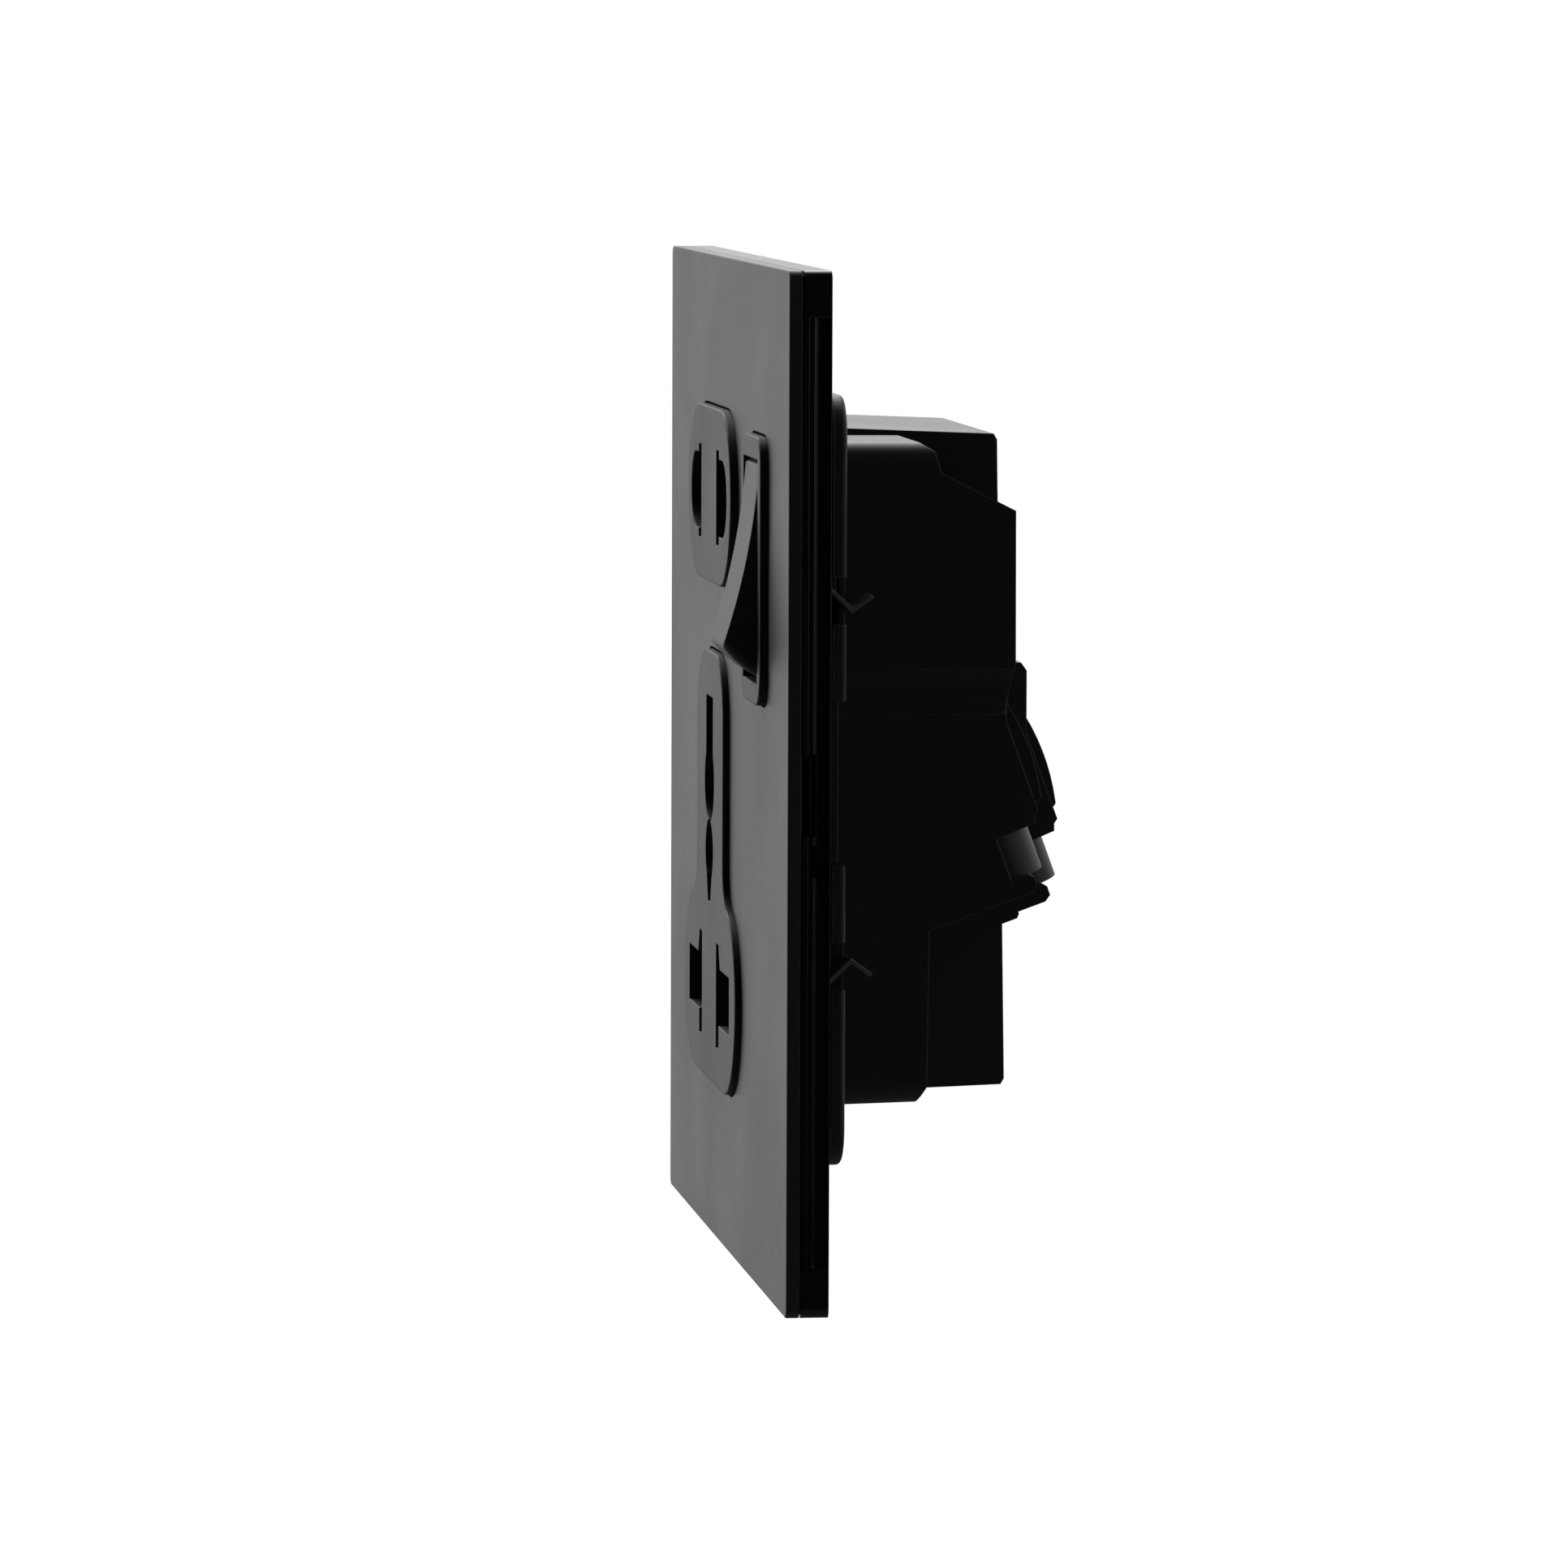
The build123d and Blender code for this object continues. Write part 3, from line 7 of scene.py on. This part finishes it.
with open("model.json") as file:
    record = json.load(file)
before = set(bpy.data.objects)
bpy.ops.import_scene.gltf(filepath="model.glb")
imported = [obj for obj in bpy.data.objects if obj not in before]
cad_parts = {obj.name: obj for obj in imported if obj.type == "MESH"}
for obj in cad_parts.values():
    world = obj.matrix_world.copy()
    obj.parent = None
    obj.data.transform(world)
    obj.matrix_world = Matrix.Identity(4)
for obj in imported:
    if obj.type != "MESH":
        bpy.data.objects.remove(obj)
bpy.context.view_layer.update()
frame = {"nodes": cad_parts, "record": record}
print("frame loaded,", len(frame["nodes"]), "CAD nodes")

# the camera stands off the plate's right side, a little above it
cameraSetup = {
    "position": (0.7505, -0.0919, 0.0619),
    "azimuth": 82.906,      # degrees round from the front
    "elevation": 4.871,
    "roll": 0.201,
    "lens": 201.13,
    "sensor": 36.0,
    "clipStart": 0.01,
}


def placeCamera(setup):
    azimuth, elevation, roll = (math.radians(setup[key]) for key in ("azimuth", "elevation", "roll"))
    level = math.cos(elevation)
    back = Vector((math.sin(azimuth) * level, -math.cos(azimuth) * level, math.sin(elevation)))
    right = Vector((math.cos(azimuth), math.sin(azimuth), 0))
    up = back.cross(right)
    turnedRight = right * math.cos(roll) + up * math.sin(roll)
    turnedUp = up * math.cos(roll) - right * math.sin(roll)
    lens = bpy.data.cameras.new("camera")
    lens.lens = setup["lens"]
    lens.sensor_width = setup["sensor"]
    lens.clip_start = setup["clipStart"]
    holder = bpy.data.objects.new("camera", lens)
    bpy.context.scene.collection.objects.link(holder)
    turn = Matrix((turnedRight, turnedUp, back)).transposed().to_4x4()
    holder.matrix_world = Matrix.Translation(setup["position"]) @ turn
    bpy.context.scene.camera = holder


placeCamera(cameraSetup)
print("camera placed")


# helpers that build shader nodes
def feed(tree, socket, value):
    if isinstance(value, bpy.types.NodeSocket):
        tree.links.new(value, socket)
    else:
        socket.default_value = value


def addNode(tree, kind, inputs=None, **settings):
    node = tree.nodes.new(kind)
    for key, value in settings.items():
        setattr(node, key, value)
    for socket, value in (inputs or {}).items():
        feed(tree, node.inputs[socket], value)
    return node


def blankMaterial(name):
    material = bpy.data.materials.new(name)
    material.use_nodes = True
    tree = material.node_tree
    tree.nodes.clear()
    output = tree.nodes.new("ShaderNodeOutputMaterial")
    return material, tree, output


def grey(value):
    return (value, value, value, 1.0)


def noiseAt(tree, place, scale, detail, roughness=0.5):
    return addNode(tree, "ShaderNodeTexNoise", {"Vector": place, "Scale": scale, "Detail": detail,
                                                "Roughness": roughness}).outputs["Fac"]


def spread(tree, value, source, target=(0.0, 1.0)):
    return addNode(tree, "ShaderNodeMapRange", {"Value": value, "From Min": source[0], "From Max": source[1],
                                                "To Min": target[0], "To Max": target[1]}).outputs["Result"]


def calculate(tree, operation, first, second, **settings):
    return addNode(tree, "ShaderNodeMath", {0: first, 1: second}, operation=operation,
                   **settings).outputs["Value"]


def mixColour(tree, factor, first, second):
    mix = addNode(tree, "ShaderNodeMix", {"Factor": factor}, data_type="RGBA")
    colourInputs = [socket for socket in mix.inputs if socket.type == "RGBA"]
    feed(tree, colourInputs[0], first)
    feed(tree, colourInputs[1], second)
    return [socket for socket in mix.outputs if socket.type == "RGBA"][0]


def softEdges(tree, look):
    return addNode(tree, "ShaderNodeBevel", {"Radius": look["edgeRadius"]},
                   samples=look["edgeSamples"]).outputs["Normal"]


def grainBump(tree, look, height, normal):
    return addNode(tree, "ShaderNodeBump", {"Strength": look["grainStrength"], "Distance": look["grainDepth"],
                                            "Height": height, "Normal": normal}).outputs["Normal"]


# finishes, one per kind of material
def mouldedPlastic(name, look):
    material, tree, output = blankMaterial(name)
    place = addNode(tree, "ShaderNodeTexCoord").outputs["Object"]
    broad = noiseAt(tree, place, look["cloudScale"], look["cloudDetail"])
    fine = noiseAt(tree, place, look["grainScale"], look["grainDetail"], look["grainMix"])
    # colour: slow drift in the pigment, lighter on the rounded edges as wear and as a painted highlight, and a few
    # dust specks
    rounded = softEdges(tree, look)
    flat = addNode(tree, "ShaderNodeNewGeometry").outputs["True Normal"]
    along = addNode(tree, "ShaderNodeVectorMath", {0: rounded, 1: flat}, operation="DOT_PRODUCT").outputs["Value"]
    # painted highlight and wear: the colour lightens where the shading normal bends round an edge
    edge = spread(tree, along, look["edgeBend"])
    drift = mixColour(tree, spread(tree, broad, look["driftSpan"]), look["dark"], look["light"])
    wornAndLit = mixColour(tree, edge, drift, look["edge"])
    specks = addNode(tree, "ShaderNodeTexVoronoi", {"Vector": place, "Scale": look["speckScale"]}).outputs["Distance"]
    gate = noiseAt(tree, place, look["speckScale"] * look["gateShare"], look["gateDetail"])
    speck = calculate(tree, "MULTIPLY", spread(tree, specks, (look["speckSize"], 0.0)),
                      spread(tree, gate, look["gateSpan"]))
    dusty = mixColour(tree, speck, wornAndLit, look["dust"])
    # gloss and grain
    gloss = spread(tree, broad, look["glossSpan"], look["roughness"])
    grain = spread(tree, fine, look["grainSpan"], (-look["grainGloss"], look["grainGloss"]))
    gloss = calculate(tree, "ADD", gloss, grain, use_clamp=True)
    bump = grainBump(tree, look, fine, rounded)
    skin = addNode(tree, "ShaderNodeBsdfPrincipled", {"Base Color": dusty, "Roughness": gloss, "Normal": bump})
    skin.inputs["IOR"].default_value = look["ior"]
    tree.links.new(skin.outputs["BSDF"], output.inputs["Surface"])
    return material


def plainMetal(name, look):
    material, tree, output = blankMaterial(name)
    place = addNode(tree, "ShaderNodeTexCoord").outputs["Object"]
    broad = noiseAt(tree, place, look["cloudScale"], look["cloudDetail"])
    stretched = addNode(tree, "ShaderNodeMapping", {"Vector": place, "Scale": look["brushing"]}).outputs["Vector"]
    fine = noiseAt(tree, stretched, look["grainScale"], look["grainDetail"], look["grainMix"])
    colour = mixColour(tree, spread(tree, broad, look["tarnishSpan"]), look["clean"], look["tarnished"])
    gloss = spread(tree, broad, look["glossSpan"], look["roughness"])
    bump = grainBump(tree, look, fine, softEdges(tree, look))
    skin = addNode(tree, "ShaderNodeBsdfPrincipled", {"Base Color": colour, "Roughness": gloss, "Normal": bump})
    skin.inputs["Metallic"].default_value = 1.0
    tree.links.new(skin.outputs["BSDF"], output.inputs["Surface"])
    return material


# each Span is the part of a noise, from 0 to 1, that is stretched over the whole effect
# the edge colour of each plastic look is wear and a painted highlight along its rounded edges
panelLook = {"dark": grey(0.019), "light": grey(0.024), "edge": grey(0.032), "dust": grey(0.08),
             "cloudScale": 60.0, "cloudDetail": 3.0, "driftSpan": (0.35, 0.65),
             "grainScale": 7000.0, "grainDetail": 2.0, "grainMix": 0.6, "grainSpan": (0.3, 0.7),
             "grainGloss": 0.05, "grainStrength": 0.35, "grainDepth": 0.00002,
             "speckScale": 260.0, "speckSize": 0.05,
             "gateShare": 0.35, "gateDetail": 1.0, "gateSpan": (0.60, 0.64),
             "edgeRadius": 0.00012, "edgeSamples": 6, "edgeBend": (0.995, 0.80),
             "roughness": (0.40, 0.46), "glossSpan": (0.30, 0.70), "ior": 1.49}
insertLook = dict(panelLook, dark=grey(0.010), light=grey(0.013), edge=grey(0.02),
                  roughness=(0.46, 0.52), grainScale=5000.0, grainStrength=0.2, edgeRadius=0.0002)
rockerLook = dict(panelLook, dark=grey(0.034), light=grey(0.040), edge=grey(0.05),
                  roughness=(0.42, 0.48), grainScale=6000.0, grainStrength=0.25, edgeRadius=0.0006)
frameLook = dict(panelLook, dark=grey(0.010), light=grey(0.013), edge=grey(0.025),
                 roughness=(0.10, 0.20), grainScale=900.0, grainStrength=0.10, grainGloss=0.03)
housingLook = dict(panelLook, dark=grey(0.009), light=grey(0.012), edge=grey(0.10),
                   roughness=(0.42, 0.50), grainScale=2200.0, grainStrength=0.12, grainGloss=0.03,
                   edgeRadius=0.00018)
shutterLook = dict(insertLook, roughness=(0.42, 0.5))
innerLook = dict(housingLook, dark=grey(0.045), light=grey(0.06), edge=grey(0.08), roughness=(0.4, 0.5))
clampBrassLook = {"clean": (0.72, 0.55, 0.28, 1), "tarnished": (0.52, 0.38, 0.18, 1), "tarnishSpan": (0.4, 0.7),
                  "cloudScale": 300.0, "cloudDetail": 3.0,
                  "grainScale": 2500.0, "grainDetail": 2.0, "grainMix": 0.6, "brushing": (1, 1, 6),
                  "grainStrength": 0.4, "grainDepth": 0.00002, "edgeRadius": 0.00015, "edgeSamples": 4,
                  "roughness": (0.25, 0.42), "glossSpan": (0.3, 0.7)}
contactBrassLook = dict(clampBrassLook, clean=(0.78, 0.56, 0.27, 1), tarnished=(0.60, 0.40, 0.20, 1),
                        roughness=(0.2, 0.34))
screwSteelLook = dict(clampBrassLook, clean=(0.62, 0.62, 0.63, 1), tarnished=(0.42, 0.42, 0.42, 1),
                      roughness=(0.24, 0.4), edgeRadius=0.0001)
springSteelLook = dict(screwSteelLook, clean=(0.5, 0.5, 0.51, 1), tarnished=(0.33, 0.33, 0.34, 1),
                       roughness=(0.18, 0.3), edgeRadius=0.00005)

finishes = {
    "panel_plastic": mouldedPlastic("panelBlack", panelLook),
    "insert_plastic": mouldedPlastic("insertBlack", insertLook),
    "rocker_plastic": mouldedPlastic("rockerBlack", rockerLook),
    "frame_plastic": mouldedPlastic("frameBlack", frameLook),
    "housing_plastic": mouldedPlastic("housingBlack", housingLook),
    "shutter_plastic": mouldedPlastic("shutterBlack", shutterLook),
    "inner_plastic": mouldedPlastic("innerGrey", innerLook),
    "clamp_brass": plainMetal("clampBrass", clampBrassLook),
    "contact_brass": plainMetal("contactBrass", contactBrassLook),
    "screw_steel": plainMetal("screwSteel", screwSteelLook),
    "spring_steel": plainMetal("springSteel", springSteelLook),
}

for part in frame["record"]["subparts"]:
    node = frame["nodes"][part["node"]]
    node.data.materials.clear()
    node.data.materials.append(finishes[part["material_slot"]])
print("finishes given to", len(frame["nodes"]), "nodes")


# studio: bright on the far side, dark on the camera's side
studio = {
    "floorHeight": -0.30,
    "floorSize": 2.4,
    "floorColour": 0.82,
    "floorShade": 0.14,             # what the floor reflects onto the object
    "floorGlow": 0.6,
    "backdrop": 1.0,
    "leftLevel": (0.40, 0.78),      # brightness of the far side, low down and above the horizon
    "rearLevel": (0.0, 0.45),
    "nearLevel": 0.0035,            # the dark side that the camera stands on
    "leftFacing": (0.10, -0.25),    # where each side's light begins, and where it is full
    "rearFacing": (0.20, 0.85),
    "horizon": (-0.32, -0.10),
    "rearHorizon": (-0.14, -0.03),
    "lamps": {
        "overhead": {"at": (-1.15, 0.0, 1.1), "size": (1.1, 1.6), "watts": 14.0},
        "frontFill": {"at": (-0.9, -1.6, 0.45), "size": (1.2, 1.2), "watts": 12.0},
    },
}


def softLamp(name, lamp):
    light = bpy.data.lights.new(name, "AREA")
    light.shape = "RECTANGLE"
    light.size, light.size_y = lamp["size"]
    light.energy = lamp["watts"]
    holder = bpy.data.objects.new(name, light)
    bpy.context.scene.collection.objects.link(holder)
    aim = (-Vector(lamp["at"])).to_track_quat("-Z", "Y").to_matrix().to_4x4()
    holder.matrix_world = Matrix.Translation(lamp["at"]) @ aim
    holder.visible_camera = False


def paleFloor(setup):
    bpy.ops.mesh.primitive_plane_add(size=setup["floorSize"], location=(0, 0, setup["floorHeight"]))
    floor = bpy.context.object
    floor.name = "floor"
    material, tree, output = blankMaterial("paleFloor")
    seen = addNode(tree, "ShaderNodeLightPath").outputs["Is Camera Ray"]
    shade = spread(tree, seen, (0.0, 1.0), (setup["floorShade"], setup["floorColour"]))
    strength = spread(tree, seen, (0.0, 1.0), (0.0, setup["floorGlow"]))
    matt = addNode(tree, "ShaderNodeBsdfDiffuse", {"Color": shade})
    glow = addNode(tree, "ShaderNodeEmission", {"Color": grey(1.0), "Strength": strength})
    both = addNode(tree, "ShaderNodeAddShader", {0: matt.outputs["BSDF"], 1: glow.outputs["Emission"]})
    tree.links.new(both.outputs["Shader"], output.inputs["Surface"])
    floor.data.materials.append(material)


def whiteWorld(setup):
    world = bpy.data.worlds.new("studio")
    bpy.context.scene.world = world
    world.use_nodes = True
    tree = world.node_tree
    tree.nodes.clear()
    output = tree.nodes.new("ShaderNodeOutputWorld")
    seen = addNode(tree, "ShaderNodeLightPath").outputs["Is Camera Ray"]
    direction = addNode(tree, "ShaderNodeTexCoord").outputs["Generated"]
    split = addNode(tree, "ShaderNodeSeparateXYZ", {"Vector": direction})

    def side(axis, facing, levels, horizon):
        turned = spread(tree, split.outputs[axis], facing)
        level = spread(tree, split.outputs["Z"], horizon, levels)
        return calculate(tree, "MULTIPLY", turned, level)

    left = side("X", setup["leftFacing"], setup["leftLevel"], setup["horizon"])
    rear = side("Y", setup["rearFacing"], setup["rearLevel"], setup["rearHorizon"])
    level = calculate(tree, "ADD", calculate(tree, "MAXIMUM", left, rear), setup["nearLevel"])
    around = addNode(tree, "ShaderNodeBackground", {"Color": grey(1.0), "Strength": level})
    white = addNode(tree, "ShaderNodeBackground", {"Color": grey(1.0), "Strength": setup["backdrop"]})
    mixed = addNode(tree, "ShaderNodeMixShader", {0: seen, 1: around.outputs["Background"],
                                                  2: white.outputs["Background"]})
    tree.links.new(mixed.outputs["Shader"], output.inputs["Surface"])


for lampName, lamp in studio["lamps"].items():
    softLamp(lampName, lamp)
paleFloor(studio)
whiteWorld(studio)
bpy.context.scene.view_settings.view_transform = "Standard"
print("studio lit")
